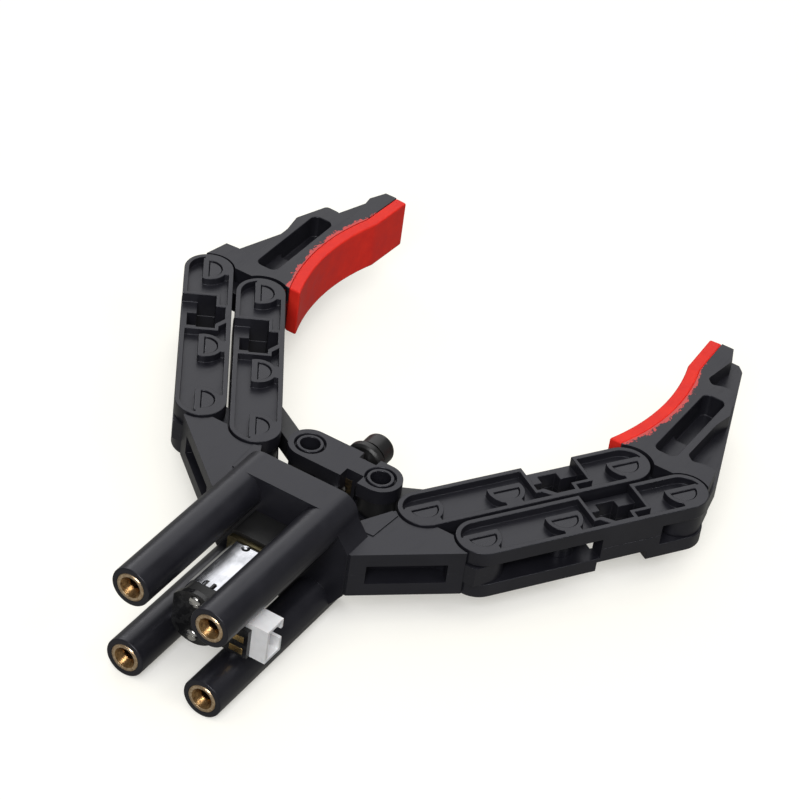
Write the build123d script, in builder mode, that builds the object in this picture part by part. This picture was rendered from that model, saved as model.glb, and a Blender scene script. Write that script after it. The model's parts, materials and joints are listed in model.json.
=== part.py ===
"""Robot claw gripper: a lead screw pulls a crosshead, and four arms swing two fingers that stay parallel."""

import os
from math import asin, cos, degrees, radians, sin

from build123d import *

os.makedirs("parts", exist_ok=True)

# Frame: X across, Y forward from the rear ends of the posts, Z up from the middle plane. Sizes in mm.
# Every place along Y is given ahead of the block's rear face, which the posts carry.

# Clearances
RUN_GAP = 0.05
SIDE_GAP = 0.25
PRESS_GAP = 0.02

# Posts, threaded inserts and block
POST_PITCH = 24.0
POST_R = 5.65
POST_LENGTH = 50.4
INSERT_R = 4.0
INSERT_LENGTH = 8.0
INSERT_CHAMFER = 0.4
THREAD_R = 2.0
THREAD_RUNOUT = 5.0
BLOCK_DEPTH = 9.9
BLOCK_SKIRT_X = 21.3

# Wings that carry the arms
WING_TOP = 7.0
WING_SLOT_Z = 3.0
WING_REAR_Y = 0.7
WING_REAR_X = 21.9
WING_CORNER = (45.2, 20.8)
WING_FRONT_Y = 24.95
WING_SHOULDER = (21.25, 23.3)
WING_WAIST = (17.1, 15.1)
WING_ROOT_X = 14.5
WING_ARC_R = 7.6
WING_SLOT_DEPTH = 6.0
WING_SLOT_WALL = 4.5
FACET_DROP = 0.5
FACET_LINE = ((22.3, 10.8), (23.1, 22.1))
LUG_R = 6.6

# Arms: four alike, each of two halves; shares are of the arm's length, from its base pivot
BASE_INNER_X = 27.03
ARM_SPACING = 18.11
BASE_Y = 28.8
ARM_LENGTH = 61.25
ARM_ANGLE = 32.55
ARM_HALF_WIDTH = 7.15
ARM_TOP = 7.6
FORK_Z = 3.2
ARM_MIDDLE_SHARE = 0.4
RIM = 1.4
RECESS_DEPTH = 2.2
BOSS_R = 5.25
BOSS_FLAT = 1.75
BOSS_BRIDGE = 2.5
CUT_SHARES = (0.5355, 0.787)
CUT_SIDE = 2.6
NOTCH_SHARES = (0.6106, 0.702)
NOTCH_SIDE = 5.3
LEDGE_DEPTH = 3.0
CUT_WALL = 1.1
WEB_SHARES = (0.5453, 0.8473)

# Arm pins with half-moon ends
PIN_R = 3.85
PIN_CHAMFER = 0.3

# Crosshead and links
CROSS_Y = 32.0
CROSS_PIN_X = 11.3
CROSS_END_R = 6.1
CROSS_TOP = 7.6
CORE_HALF = 5.2
CROSS_PIN_R = 3.75
CROSS_PIN_BORE_R = 2.75
CROSS_RING_R = 4.35
CROSS_RING_DEPTH = 1.5
CROSS_NOTCH_X = 4.9
CROSS_NOTCH_WIDTH = 5.3
CROSS_NOTCH_REAR = 3.6
CROSS_NOTCH_FRONT = 2.5
NUT_HALF = 4.2
NUT_LENGTH = 5.2
LINK_HALF_WIDTH = 2.6
LINK_EYE_R = 5.4
OPEN_PIVOT_GAP = 1.05
OPEN_EYE_WALL = 1.15

# Lead screw, coupling and knob
SCREW_R = 2.5
SCREW_ROOT_R = 1.9
SCREW_SEAT = 4.5
COUPLING_R = 4.0
COUPLING_REAR_Y = 3.0
COUPLING_LENGTH = 9.0
COUPLING_SEAT = 4.2
BLOCK_BORE_GAP = 0.8
KNOB_REAR_Y = 42.2
KNOB_FLANGE_R = 5.9
KNOB_FLANGE_T = 3.0
KNOB_FLANGE_CHAMFER = 0.7
KNOB_GROOVE_R = 3.9
KNOB_GROOVE_WIDTH = 1.2
KNOB_R = 4.5
KNOB_LENGTH = 6.0
KNOB_ROUND = 1.8

# Motor and gearbox
CAN_R = 7.75
CAN_FLAT = 6.0
CAN_LENGTH = 20.2
CAN_ROUND = 1.2
CAN_TONGUE = (-0.7, 1.5)
CAN_SLIT = (0.7, 1.7)
CAN_SLIT_DEPTH = 0.6
CAP_R = 7.3
CAP_FLAT = 5.9
CAP_LENGTH = 3.2
CAP_HUB_R = 2.4
PLATE_HALF_X = 8.3
PLATE_HALF_Z = 5.8
PLATE_ROUND = 1.0
REAR_PLATE_T = 1.6
COVER_LENGTH = 10.1
COVER_HALF_X = 7.9
COVER_HALF_Z = 7.0
FRONT_PLATE_T = 1.5
PLATE_FIT = 0.1
SHAFT_R = 1.5
SHAFT_FLAT = 1.0
SHAFT_REACH = 8.0
SHAFT_FRONT_Y = 7.1

# Motor board and connector
BOARD_GAP = 1.7
BOARD_T = 1.6
BOARD_R = 8.2
BOARD_FLAT_X = 6.6
TAB_END_X = 16.5
TAB_HALF_Z = 4.5
TERMINAL_Z = 5.8
TERMINAL_WIDTH = 2.2
TERMINAL_T = 0.5
TERMINAL_PROUD = 0.9
PAD_X = 13.3
PAD_SIZE = (4.0, 1.9)
PAD_T = 0.15
PAD_Z = (1.3, -2.6)
SHELL_X = (13.3, 21.2)
SHELL_LENGTH = 7.2
SHELL_HEIGHT = 10.7
SHELL_MIDDLE_Z = 0.75
SHELL_WALL = 0.9
SHELL_BACK = 1.8
SHELL_SLOT = 3.3
SHELL_SLOT_RISE = 0.8
CONTACT_R = 0.32
CONTACT_PITCH = 2.0
CONTACT_REACH = 4.4

# Case screws, from below
CASE_SCREW_R = 1.5
CASE_HEAD_R = 2.75
CASE_HEAD_H = 2.0
CASE_SINK = 2.6
CASE_BITE = 9.0
CASE_HEX = 1.5
CASE_GAP = 0.2

# Fingers: places are outward and forward of the inner tip pivot
LAYER_Z = 2.95
FINGER_TOP = 7.6
PAD_BASE_Y = 7.2
PAD_GRIP_BASE = -8.8
PAD_GRIP_MID = (-4.3, 34.0)
PAD_GRIP_KINK = (-7.2, 51.6)
PAD_GRIP_TIP = (-8.0, 66.9)
PAD_THICK = 3.8
FINGER_TIP = (-0.4, 67.2)
TIP_HEEL = (1.9, 61.7)
POCKET_FOOT = (0.3, 49.9)
POCKET_LOW = (2.3, 47.8)
POCKET_OUT = (5.3, 49.1)
BUMP_HIGH = (9.3, 49.3)
BUMP_LOW = (13.1, 38.4)
RIB_HIGH = (11.95, 31.8)
RIB_LOW = (11.95, 15.0)
RIB_FOOT = (14.1, 13.1)
HEEL_IN = (17.3, 14.0)
HEEL_OUT = (21.4, 13.7)
HEEL_SIDE_X = 23.2
FLANGE_TIP = (2.45, 67.0)
FLANGE_TOP = (4.6, 64.8)
FLANGE_LOW = (21.6, 16.0)
SLOT_X = (2.9, 9.6)
SLOT_Y = (11.5, 43.0)
SLOT_STEP_Y = 24.0
SLOT_WEB = 1.0
SLOT_ROUND = 2.0
LAYER_ROUND = 1.5
FLANGE_ROUND = 2.5
INNER_SWEEP_R = 8.3
OUTER_SWEEP_R = 7.6
CUSP_Y = 5.0

# Worked out from the sizes above
POST_HALF = POST_PITCH / 2
BLOCK_TOP = POST_HALF + POST_R
BLOCK_MIDDLE_Y = BLOCK_DEPTH / 2
BASE_OUTER_X = BASE_INNER_X + ARM_SPACING
REACH_X = ARM_LENGTH * sin(radians(ARM_ANGLE))
REACH_Y = ARM_LENGTH * cos(radians(ARM_ANGLE))
TIP_INNER_X = BASE_INNER_X + REACH_X
TIP_Y = BASE_Y + REACH_Y
ARM_MIDDLE = ARM_LENGTH * ARM_MIDDLE_SHARE
CUT_START, CUT_END = (ARM_LENGTH * share for share in CUT_SHARES)
NOTCH_START, NOTCH_END = (ARM_LENGTH * share for share in NOTCH_SHARES)
WEB_START, WEB_END = (ARM_LENGTH * share for share in WEB_SHARES)
MIDDLE_X = BASE_INNER_X + ARM_MIDDLE * sin(radians(ARM_ANGLE))
MIDDLE_Y = BASE_Y + ARM_MIDDLE * cos(radians(ARM_ANGLE))
PIVOTS = (0.0, ARM_MIDDLE, ARM_LENGTH)
BORE_R = PIN_R + RUN_GAP
LUG_TOP = FORK_Z - SIDE_GAP
COUPLING_FRONT_Y = COUPLING_REAR_Y + COUPLING_LENGTH
LAYER_CORNERS = (POCKET_FOOT, POCKET_LOW, POCKET_OUT, BUMP_HIGH, BUMP_LOW, RIB_HIGH, RIB_LOW, RIB_FOOT)
LINK_LENGTH = ((MIDDLE_X - CROSS_PIN_X) ** 2 + (MIDDLE_Y - CROSS_Y) ** 2) ** 0.5
LINK_ANGLE = degrees(asin((MIDDLE_Y - CROSS_Y) / LINK_LENGTH))
KNOB_GROOVE_Y = KNOB_REAR_Y + KNOB_FLANGE_T
KNOB_HEAD_Y = KNOB_GROOVE_Y + KNOB_GROOVE_WIDTH
CAN_FRONT_Y = -COVER_LENGTH - REAR_PLATE_T
CAN_REAR_Y = CAN_FRONT_Y - CAN_LENGTH
CAP_REAR_Y = CAN_REAR_Y - CAP_LENGTH
BOARD_FRONT_Y = CAP_REAR_Y - BOARD_GAP
BOARD_REAR_Y = BOARD_FRONT_Y - BOARD_T


def ahead(x, y, z=0):
    """Point given across, ahead of the block's rear face, and up."""
    return (x, POST_LENGTH + y, z)


def across(y):
    """Plane that faces forward, with Z up in the sketch and X to its left."""
    return Plane(origin=ahead(0, y), x_dir=(-1, 0, 0), z_dir=(0, 1, 0))


def level(z):
    """Plane that faces up at a height."""
    return Plane(origin=ahead(0, 0, z), x_dir=(1, 0, 0), z_dir=(0, 0, 1))


def outward(x):
    """Plane that faces right at a place along X, with Y to the right in the sketch and Z up."""
    return Plane(origin=ahead(x, 0), x_dir=(0, 1, 0), z_dir=(1, 0, 0))


def finish(piece, label):
    """Label a piece and write it under its name."""
    piece.part.label = label
    export_step(piece.part, f"parts/{label}.step")


def wing_outline():
    """Right wing seen from above: slanted rear edge, two arcs that clear the arms, waist to the block."""
    with BuildSketch() as outline:
        Polygon(
            (0, WING_REAR_Y),
            (WING_REAR_X, WING_REAR_Y),
            WING_CORNER,
            (WING_CORNER[0], WING_FRONT_Y),
            (BASE_INNER_X, WING_FRONT_Y),
            WING_SHOULDER,
            WING_WAIST,
            (WING_ROOT_X, BLOCK_DEPTH),
            (0, BLOCK_DEPTH),
            align=None,
        )
        with Locations((BASE_INNER_X, BASE_Y), (BASE_OUTER_X, BASE_Y)):
            Circle(WING_ARC_R, mode=Mode.SUBTRACT)
    return outline.sketch


def wing_slot_plane():
    """Plane whose x runs along the wing's slanted rear edge, with y into the wing."""
    run = Vector(WING_CORNER[0] - WING_REAR_X, WING_CORNER[1] - WING_REAR_Y, 0)
    return Plane(origin=ahead(WING_REAR_X, WING_REAR_Y), x_dir=run, z_dir=(0, 0, 1))


def half_block():
    """Profile of the block above the middle plane: rounded over the posts, sloping out to the wings."""
    with BuildSketch() as profile:
        with BuildLine():
            Polyline((0, 0), (BLOCK_SKIRT_X, 0), (BLOCK_SKIRT_X, WING_TOP), (BLOCK_TOP, POST_HALF))
            CenterArc((POST_HALF, POST_HALF), POST_R, 0, 90)
            Polyline((POST_HALF, BLOCK_TOP), (0, BLOCK_TOP), (0, 0))
        make_face()
        mirror(about=Plane.YZ)
    return profile.sketch


def make_base():
    """Two halves of the base, met at the middle plane round the gearbox plate and the coupling."""
    slot_plane = wing_slot_plane()
    edge_length = Vector(WING_CORNER[0] - WING_REAR_X, WING_CORNER[1] - WING_REAR_Y, 0).length
    slot_end = edge_length - WING_SLOT_WALL
    with BuildPart() as shell:
        with BuildSketch(level(0)):
            add(wing_outline())
        extrude(amount=WING_TOP)
        with BuildSketch(slot_plane):
            with Locations((slot_end, -WING_SLOT_DEPTH)):
                Rectangle(slot_end - WING_SLOT_WALL, 2 * WING_SLOT_DEPTH, align=(Align.MAX, Align.MIN))
        extrude(amount=WING_SLOT_Z, mode=Mode.SUBTRACT)
        with BuildSketch(level(WING_TOP - FACET_DROP)):
            Polygon((0, BLOCK_DEPTH), *FACET_LINE, (0, FACET_LINE[1][1] + POST_R), align=None)
        extrude(amount=FACET_DROP, mode=Mode.SUBTRACT)
        with BuildSketch(level(0)):
            with Locations((BASE_INNER_X, BASE_Y), (BASE_OUTER_X, BASE_Y)):
                Circle(LUG_R)
            with Locations((BASE_INNER_X, BASE_Y - WING_ARC_R), (BASE_OUTER_X, BASE_Y - WING_ARC_R)):
                Rectangle(LUG_R, FACET_DROP)
            make_hull()
            with Locations((BASE_INNER_X, BASE_Y), (BASE_OUTER_X, BASE_Y)):
                Circle(BORE_R, mode=Mode.SUBTRACT)
        extrude(amount=LUG_TOP)
        mirror(about=Plane.YZ)
        with BuildSketch(across(0)):
            add(half_block())
        extrude(amount=BLOCK_DEPTH)
        with BuildSketch(across(-POST_LENGTH)):
            with Locations((-POST_HALF, POST_HALF), (POST_HALF, POST_HALF)):
                Circle(POST_R)
        extrude(amount=POST_LENGTH)
        with BuildSketch(across(-POST_LENGTH)):
            with Locations((-POST_HALF, POST_HALF), (POST_HALF, POST_HALF)):
                Circle(INSERT_R)
        extrude(amount=INSERT_LENGTH, mode=Mode.SUBTRACT)
        with BuildSketch(across(-POST_LENGTH)):
            with Locations((-POST_HALF, POST_HALF), (POST_HALF, POST_HALF)):
                Circle(THREAD_R)
        extrude(amount=INSERT_LENGTH + THREAD_RUNOUT, mode=Mode.SUBTRACT)
        with BuildSketch(across(0)):
            RectangleRounded(2 * (PLATE_HALF_X + PLATE_FIT), 2 * (PLATE_HALF_Z + PLATE_FIT), PLATE_ROUND)
        extrude(amount=FRONT_PLATE_T, mode=Mode.SUBTRACT)
        with BuildSketch(across(0)):
            Circle(COUPLING_R + BLOCK_BORE_GAP)
        extrude(amount=BLOCK_DEPTH, mode=Mode.SUBTRACT)

    with BuildPart() as upper:
        add(shell.part)
        with BuildSketch(level(0)):
            with Locations((-POST_HALF, BLOCK_MIDDLE_Y), (POST_HALF, BLOCK_MIDDLE_Y)):
                Circle(CASE_SCREW_R)
        extrude(amount=CASE_BITE, mode=Mode.SUBTRACT)
    finish(upper, "base_upper")

    with BuildPart() as lower:
        mirror(shell.part, about=Plane.XY)
        with BuildSketch(level(0)):
            with Locations((-POST_HALF, BLOCK_MIDDLE_Y), (POST_HALF, BLOCK_MIDDLE_Y)):
                Circle(CASE_SCREW_R + CASE_GAP)
        extrude(amount=-BLOCK_TOP, mode=Mode.SUBTRACT)
        with BuildSketch(level(-BLOCK_TOP)):
            with Locations((-POST_HALF, BLOCK_MIDDLE_Y), (POST_HALF, BLOCK_MIDDLE_Y)):
                Circle(CASE_HEAD_R + CASE_GAP)
        extrude(amount=CASE_SINK, mode=Mode.SUBTRACT)
    finish(lower, "base_lower")


def make_inserts():
    """Four brass threaded inserts, pressed into the rear ends of the posts."""
    with BuildPart() as inserts:
        with BuildSketch(across(-POST_LENGTH)):
            with GridLocations(POST_PITCH, POST_PITCH, 2, 2):
                Circle(INSERT_R)
                Circle(THREAD_R, mode=Mode.SUBTRACT)
        extrude(amount=INSERT_LENGTH)
        rims = inserts.edges().filter_by(GeomType.CIRCLE).group_by(Axis.Y)[0]
        chamfer(rims.filter_by(lambda rim: rim.radius < INSERT_R), INSERT_CHAMFER)
    finish(inserts, "threaded_inserts")


def make_case_screws():
    """Two socket screws that pull the lower half of the base up to the upper one."""
    head_z = -BLOCK_TOP + CASE_SINK
    with BuildPart() as screws:
        with BuildSketch(level(head_z)):
            with Locations((-POST_HALF, BLOCK_MIDDLE_Y), (POST_HALF, BLOCK_MIDDLE_Y)):
                Circle(CASE_HEAD_R)
        extrude(amount=-CASE_HEAD_H)
        with BuildSketch(level(head_z)):
            with Locations((-POST_HALF, BLOCK_MIDDLE_Y), (POST_HALF, BLOCK_MIDDLE_Y)):
                Circle(CASE_SCREW_R)
        extrude(amount=CASE_BITE - head_z)
        with BuildSketch(level(head_z - CASE_HEAD_H)):
            with Locations((-POST_HALF, BLOCK_MIDDLE_Y), (POST_HALF, BLOCK_MIDDLE_Y)):
                RegularPolygon(CASE_HEX, 6)
        extrude(amount=CASE_HEAD_H / 2, mode=Mode.SUBTRACT)
    finish(screws, "case_screws")


def flatted(radius, flat):
    """Round profile with a flat above and below."""
    with BuildSketch() as profile:
        Circle(radius)
        Rectangle(2 * radius, 2 * flat, mode=Mode.INTERSECT)
    return profile.sketch


def make_motor():
    """Motor can with its end cap, terminals and board."""
    with BuildPart() as can:
        with BuildSketch(across(CAN_REAR_Y)):
            add(flatted(CAN_R, CAN_FLAT))
        extrude(amount=CAN_LENGTH)
        fillet(can.edges().group_by(Axis.Y)[-1], CAN_ROUND)
        with BuildSketch(level(CAN_FLAT)):
            for slit_x in (CAN_TONGUE[0] - CAN_TONGUE[1], CAN_TONGUE[0] + CAN_TONGUE[1]):
                with Locations((slit_x, CAN_REAR_Y)):
                    Rectangle(*CAN_SLIT, align=(Align.CENTER, Align.MIN))
        extrude(amount=-CAN_SLIT_DEPTH, mode=Mode.SUBTRACT)
    finish(can, "motor_can")

    with BuildPart() as cap:
        with BuildSketch(across(CAP_REAR_Y)):
            add(flatted(CAP_R, CAP_FLAT))
        extrude(amount=CAP_LENGTH)
        with BuildSketch(across(CAP_REAR_Y)):
            Circle(CAP_HUB_R)
        extrude(amount=-BOARD_GAP)
    finish(cap, "motor_end_cap")

    with BuildPart() as terminals:
        with BuildSketch(across(BOARD_REAR_Y - TERMINAL_PROUD)):
            with Locations((0, TERMINAL_Z - TERMINAL_T), (0, TERMINAL_T - TERMINAL_Z)):
                Rectangle(TERMINAL_WIDTH, TERMINAL_T)
        extrude(until=Until.NEXT, target=cap.part)
    finish(terminals, "motor_terminals")

    with BuildPart() as board:
        with BuildSketch(across(BOARD_REAR_Y)):
            Circle(BOARD_R)
            with Locations((BOARD_FLAT_X, 0)):
                Rectangle(2 * BOARD_R, 2 * BOARD_R, align=(Align.MAX, Align.CENTER), mode=Mode.INTERSECT)
            with Locations((-TAB_END_X, 0)):
                Rectangle(TAB_END_X, 2 * TAB_HALF_Z, align=(Align.MIN, Align.CENTER))
            with Locations((0, TERMINAL_Z - TERMINAL_T), (0, TERMINAL_T - TERMINAL_Z)):
                Rectangle(TERMINAL_WIDTH, TERMINAL_T, mode=Mode.SUBTRACT)
        extrude(amount=BOARD_T)
    finish(board, "motor_board")

    with BuildPart() as pads:
        with BuildSketch(across(BOARD_REAR_Y)):
            with Locations(*[(-PAD_X, z) for z in PAD_Z]):
                Rectangle(*PAD_SIZE)
        extrude(amount=-PAD_T)
    finish(pads, "board_pads")


def make_connector():
    """White connector shell on the board's tab, its mouth turned outward, with two contacts."""
    shell_middle = (BOARD_FRONT_Y + SHELL_LENGTH / 2, SHELL_MIDDLE_Z)
    with BuildPart() as shell:
        with BuildSketch(outward(SHELL_X[0])):
            with Locations(shell_middle):
                Rectangle(SHELL_LENGTH, SHELL_HEIGHT)
        extrude(amount=SHELL_X[1] - SHELL_X[0])
        with BuildSketch(outward(SHELL_X[0] + SHELL_BACK)):
            with Locations(shell_middle):
                Rectangle(SHELL_LENGTH - 2 * SHELL_WALL, SHELL_HEIGHT - 2 * SHELL_WALL)
        extrude(amount=SHELL_X[1] - SHELL_X[0], mode=Mode.SUBTRACT)
        with BuildSketch(across(BOARD_FRONT_Y + SHELL_LENGTH - SHELL_WALL)):
            with Locations((-SHELL_X[1], SHELL_MIDDLE_Z + SHELL_SLOT_RISE)):
                Rectangle(SHELL_X[1] - SHELL_X[0] - SHELL_BACK, SHELL_SLOT, align=(Align.MIN, Align.CENTER))
        extrude(amount=SHELL_WALL, mode=Mode.SUBTRACT)
        with BuildSketch(outward(SHELL_X[0])):
            with Locations(shell_middle):
                with GridLocations(0, CONTACT_PITCH, 1, 2):
                    Circle(CONTACT_R)
        extrude(amount=SHELL_BACK, mode=Mode.SUBTRACT)
    finish(shell, "connector_shell")

    with BuildPart() as contacts:
        with BuildSketch(outward(SHELL_X[0])):
            with Locations(shell_middle):
                with GridLocations(0, CONTACT_PITCH, 1, 2):
                    Circle(CONTACT_R)
        extrude(amount=SHELL_BACK + CONTACT_REACH)
    finish(contacts, "connector_contacts")


def make_gearbox():
    """Gearbox: brass rear plate, closed black cover, and brass front plate in the block's pocket."""
    with BuildPart() as rear:
        with BuildSketch(across(CAN_FRONT_Y)):
            RectangleRounded(2 * PLATE_HALF_X, 2 * PLATE_HALF_Z, PLATE_ROUND)
        extrude(amount=REAR_PLATE_T)
    finish(rear, "gearbox_rear_plate")

    with BuildPart() as cover:
        with BuildSketch(across(-COVER_LENGTH)):
            RectangleRounded(2 * COVER_HALF_X, 2 * COVER_HALF_Z, PLATE_ROUND)
        extrude(amount=COVER_LENGTH)
        with BuildSketch(across(0)):
            Circle(SHAFT_R + RUN_GAP)
        extrude(amount=-SHAFT_REACH - RUN_GAP, mode=Mode.SUBTRACT)
    finish(cover, "gearbox_cover")

    with BuildPart() as front:
        with BuildSketch(across(0)):
            RectangleRounded(2 * PLATE_HALF_X, 2 * PLATE_HALF_Z, PLATE_ROUND)
            Circle(SHAFT_R + RUN_GAP, mode=Mode.SUBTRACT)
        extrude(amount=FRONT_PLATE_T)
    finish(front, "gearbox_front_plate")


def make_drive():
    """What the motor turns: output shaft, coupling, lead screw and end knob."""
    with BuildPart() as shaft:
        with BuildSketch(across(-SHAFT_REACH)):
            Circle(SHAFT_R)
        extrude(amount=SHAFT_REACH + SHAFT_FRONT_Y)
        with BuildSketch(across(COUPLING_REAR_Y)):
            with Locations((0, SHAFT_FLAT)):
                Rectangle(2 * SHAFT_R, SHAFT_R, align=(Align.CENTER, Align.MIN))
        extrude(amount=SHAFT_FRONT_Y - COUPLING_REAR_Y, mode=Mode.SUBTRACT)
    finish(shaft, "output_shaft")

    with BuildPart() as coupling:
        with BuildSketch(across(COUPLING_REAR_Y)):
            Circle(COUPLING_R)
        extrude(amount=COUPLING_LENGTH)
        with BuildSketch(across(COUPLING_REAR_Y)):
            Circle(SHAFT_R)
            with Locations((0, SHAFT_FLAT)):
                Rectangle(2 * SHAFT_R, SHAFT_R, align=(Align.CENTER, Align.MIN), mode=Mode.SUBTRACT)
        extrude(amount=SHAFT_FRONT_Y - COUPLING_REAR_Y, mode=Mode.SUBTRACT)
        with BuildSketch(across(COUPLING_FRONT_Y)):
            Circle(SCREW_ROOT_R)
        extrude(amount=-COUPLING_SEAT, mode=Mode.SUBTRACT)
    finish(coupling, "shaft_coupling")

    with BuildPart() as screw:
        with BuildSketch(across(COUPLING_FRONT_Y - COUPLING_SEAT)):
            Circle(SCREW_ROOT_R)
        extrude(amount=COUPLING_SEAT)
        with BuildSketch(across(COUPLING_FRONT_Y)):
            Circle(SCREW_R)
        extrude(amount=KNOB_REAR_Y - COUPLING_FRONT_Y)
        with BuildSketch(across(KNOB_REAR_Y)):
            Circle(SCREW_ROOT_R)
        extrude(amount=SCREW_SEAT)
    finish(screw, "lead_screw")

    with BuildPart() as knob:
        with BuildSketch(across(KNOB_REAR_Y)):
            Circle(KNOB_FLANGE_R)
        extrude(amount=KNOB_FLANGE_T)
        chamfer(knob.edges(), KNOB_FLANGE_CHAMFER)
        with BuildSketch(across(KNOB_GROOVE_Y)):
            Circle(KNOB_GROOVE_R)
        extrude(amount=KNOB_GROOVE_WIDTH)
        with BuildSketch(across(KNOB_HEAD_Y)):
            Circle(KNOB_R)
        extrude(amount=KNOB_LENGTH)
        fillet(knob.edges().group_by(Axis.Y)[-1], KNOB_ROUND)
        with BuildSketch(across(KNOB_REAR_Y)):
            Circle(SCREW_ROOT_R)
        extrude(amount=SCREW_SEAT, mode=Mode.SUBTRACT)
    finish(knob, "end_knob")


def cross_half(plane):
    """One half of the crosshead: a rounded bar with a ring recess over each pin and two notches."""
    rear = -CROSS_END_R
    with BuildPart() as half:
        with BuildSketch(plane):
            SlotCenterToCenter(2 * CROSS_PIN_X, 2 * CROSS_END_R)
        extrude(amount=CROSS_TOP)
        with BuildSketch(plane):
            Rectangle(4 * CROSS_PIN_X, 4 * CROSS_END_R)
            Rectangle(2 * CORE_HALF, 4 * CROSS_END_R, mode=Mode.SUBTRACT)
        extrude(amount=FORK_Z, mode=Mode.SUBTRACT)
        with BuildSketch(plane):
            with Locations((-CROSS_PIN_X, 0), (CROSS_PIN_X, 0)):
                Circle(CROSS_PIN_R + PRESS_GAP)
        extrude(amount=CROSS_TOP, mode=Mode.SUBTRACT)
        with BuildSketch(plane.offset(CROSS_TOP)):
            with Locations((-CROSS_PIN_X, 0), (CROSS_PIN_X, 0)):
                Circle(CROSS_RING_R)
        extrude(amount=-CROSS_RING_DEPTH, mode=Mode.SUBTRACT)
        with BuildSketch(plane):
            with Locations((CROSS_NOTCH_X, rear)):
                Rectangle(CROSS_NOTCH_WIDTH, CROSS_NOTCH_REAR, align=(Align.CENTER, Align.MIN))
            with Locations((CROSS_NOTCH_X, -rear)):
                Rectangle(CROSS_NOTCH_WIDTH, CROSS_NOTCH_FRONT, align=(Align.CENTER, Align.MAX))
        extrude(amount=CROSS_TOP, mode=Mode.SUBTRACT)
        with BuildSketch(across(CROSS_Y - CROSS_END_R)):
            Circle(SCREW_R + SIDE_GAP)
        extrude(amount=2 * CROSS_END_R, mode=Mode.SUBTRACT)
        with BuildSketch(across(CROSS_Y - NUT_LENGTH / 2)):
            Rectangle(2 * NUT_HALF, 2 * NUT_HALF)
        extrude(amount=NUT_LENGTH, mode=Mode.SUBTRACT)
    return half


def make_crosshead():
    """Crosshead: two halves round the square nut, and two hollow pins for the links."""
    upper = cross_half(Plane(origin=ahead(0, CROSS_Y), x_dir=(1, 0, 0), z_dir=(0, 0, 1)))
    finish(upper, "crosshead_upper")
    with BuildPart() as lower:
        mirror(upper.part, about=Plane.XY)
    finish(lower, "crosshead_lower")

    with BuildPart() as nut:
        with BuildSketch(across(CROSS_Y - NUT_LENGTH / 2)):
            Rectangle(2 * NUT_HALF, 2 * NUT_HALF)
            Circle(SCREW_R + RUN_GAP, mode=Mode.SUBTRACT)
        extrude(amount=NUT_LENGTH)
    finish(nut, "crosshead_nut")

    with BuildPart() as pins:
        with BuildSketch(level(-CROSS_TOP)):
            with Locations((-CROSS_PIN_X, CROSS_Y), (CROSS_PIN_X, CROSS_Y)):
                Circle(CROSS_PIN_R)
                Circle(CROSS_PIN_BORE_R, mode=Mode.SUBTRACT)
        extrude(amount=2 * CROSS_TOP)
    finish(pins, "crosshead_pins")


def make_link(side, label):
    """Flat link from a crosshead pin to the inner arm's middle pin, where its eye is wide."""
    run = Vector(side * cos(radians(LINK_ANGLE)), sin(radians(LINK_ANGLE)), 0)
    plane = Plane(origin=ahead(side * CROSS_PIN_X, CROSS_Y, -LUG_TOP), x_dir=run, z_dir=(0, 0, 1))
    open_bore = PIN_R + OPEN_PIVOT_GAP
    with BuildPart() as link:
        with BuildSketch(plane):
            Circle(LINK_EYE_R)
            with Locations((LINK_LENGTH, 0)):
                Circle(open_bore + OPEN_EYE_WALL)
            Rectangle(LINK_LENGTH, 2 * LINK_HALF_WIDTH, align=(Align.MIN, Align.CENTER))
            Circle(CROSS_PIN_R + RUN_GAP, mode=Mode.SUBTRACT)
            with Locations((LINK_LENGTH, 0)):
                Circle(open_bore, mode=Mode.SUBTRACT)
        extrude(amount=2 * LUG_TOP)
    finish(link, label)


def half_moons(radius, flat):
    """Half discs at the three pivots, right of the arm's axis, cut by a flat beside the axis."""
    with BuildSketch() as moons:
        with Locations(*[(along, 0) for along in PIVOTS]):
            Circle(radius)
        with Locations((ARM_LENGTH / 2, flat)):
            Rectangle(2 * ARM_LENGTH, 2 * radius, align=(Align.CENTER, Align.MAX), mode=Mode.INTERSECT)
    return moons.sketch


def cut_outline(grow):
    """The cut-out beside the arm's middle, open to the left edge, with a jogged notch to the right."""
    jog = NOTCH_SIDE - CUT_SIDE
    with BuildSketch() as outline:
        Polygon(
            (CUT_START - grow, 2 * ARM_HALF_WIDTH),
            (CUT_START - grow, -CUT_SIDE - grow),
            (NOTCH_START - jog - grow, -CUT_SIDE - grow),
            (NOTCH_START - grow, -NOTCH_SIDE - grow),
            (NOTCH_END + grow, -NOTCH_SIDE - grow),
            (NOTCH_END + grow, -CUT_SIDE - grow),
            (CUT_END + grow, -CUT_SIDE - grow),
            (CUT_END + grow, 2 * ARM_HALF_WIDTH),
            align=None,
        )
    return outline.sketch


def bosses():
    """The three raised bosses of an arm, cut by a flat on the left and bridged to the right rim."""
    with BuildSketch() as raised:
        with Locations(*[(along, 0) for along in PIVOTS]):
            Circle(BOSS_R)
            Rectangle(2 * BOSS_BRIDGE, ARM_HALF_WIDTH, align=(Align.CENTER, Align.MAX))
        with Locations((ARM_LENGTH / 2, BOSS_FLAT)):
            Rectangle(2 * ARM_LENGTH, 4 * BOSS_R, align=(Align.CENTER, Align.MAX), mode=Mode.INTERSECT)
        with Locations((-ARM_HALF_WIDTH / 2, 0), (ARM_LENGTH + ARM_HALF_WIDTH / 2, 0)):
            Rectangle(ARM_HALF_WIDTH, BOSS_BRIDGE)
    return raised.sketch


def arm_blank(inset):
    """Round-ended outline of an arm, drawn in by an inset."""
    with Locations((ARM_LENGTH / 2, 0)):
        SlotCenterToCenter(ARM_LENGTH, 2 * (ARM_HALF_WIDTH - inset))


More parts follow.
